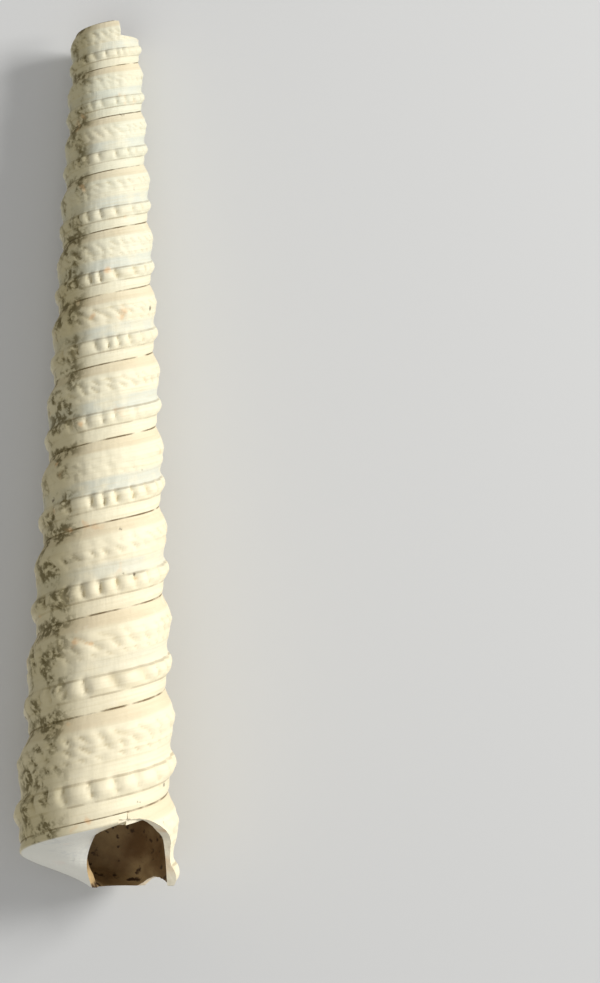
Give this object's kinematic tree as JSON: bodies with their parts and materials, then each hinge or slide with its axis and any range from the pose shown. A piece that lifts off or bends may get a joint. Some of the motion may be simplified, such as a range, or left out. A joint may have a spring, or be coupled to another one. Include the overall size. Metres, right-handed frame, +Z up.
{
  "type": "fossil torcula shell",
  "caption": "Fossil turret snail shell, tall and many-whorled with beaded spiral cords, its tip and lip broken, lying on its side with the mouth up",
  "frame": {"origin": "middle of the outline seen from above, at the height of the surface that the shell lies on", "axes": "+Y runs along the shell from its mouth end to its broken top, +Z is up from the surface and is the way the mouth faces, +X is on the right when the shell is seen from above with its top away from the viewer"},
  "size_m": [0.0122, 0.0644, 0.0118],
  "materials": {
    "fossil_calcite": "matte, worn"
  },
  "bodies": {
    "root": {"shell": "fossil_calcite"}
  },
  "joints": []
}
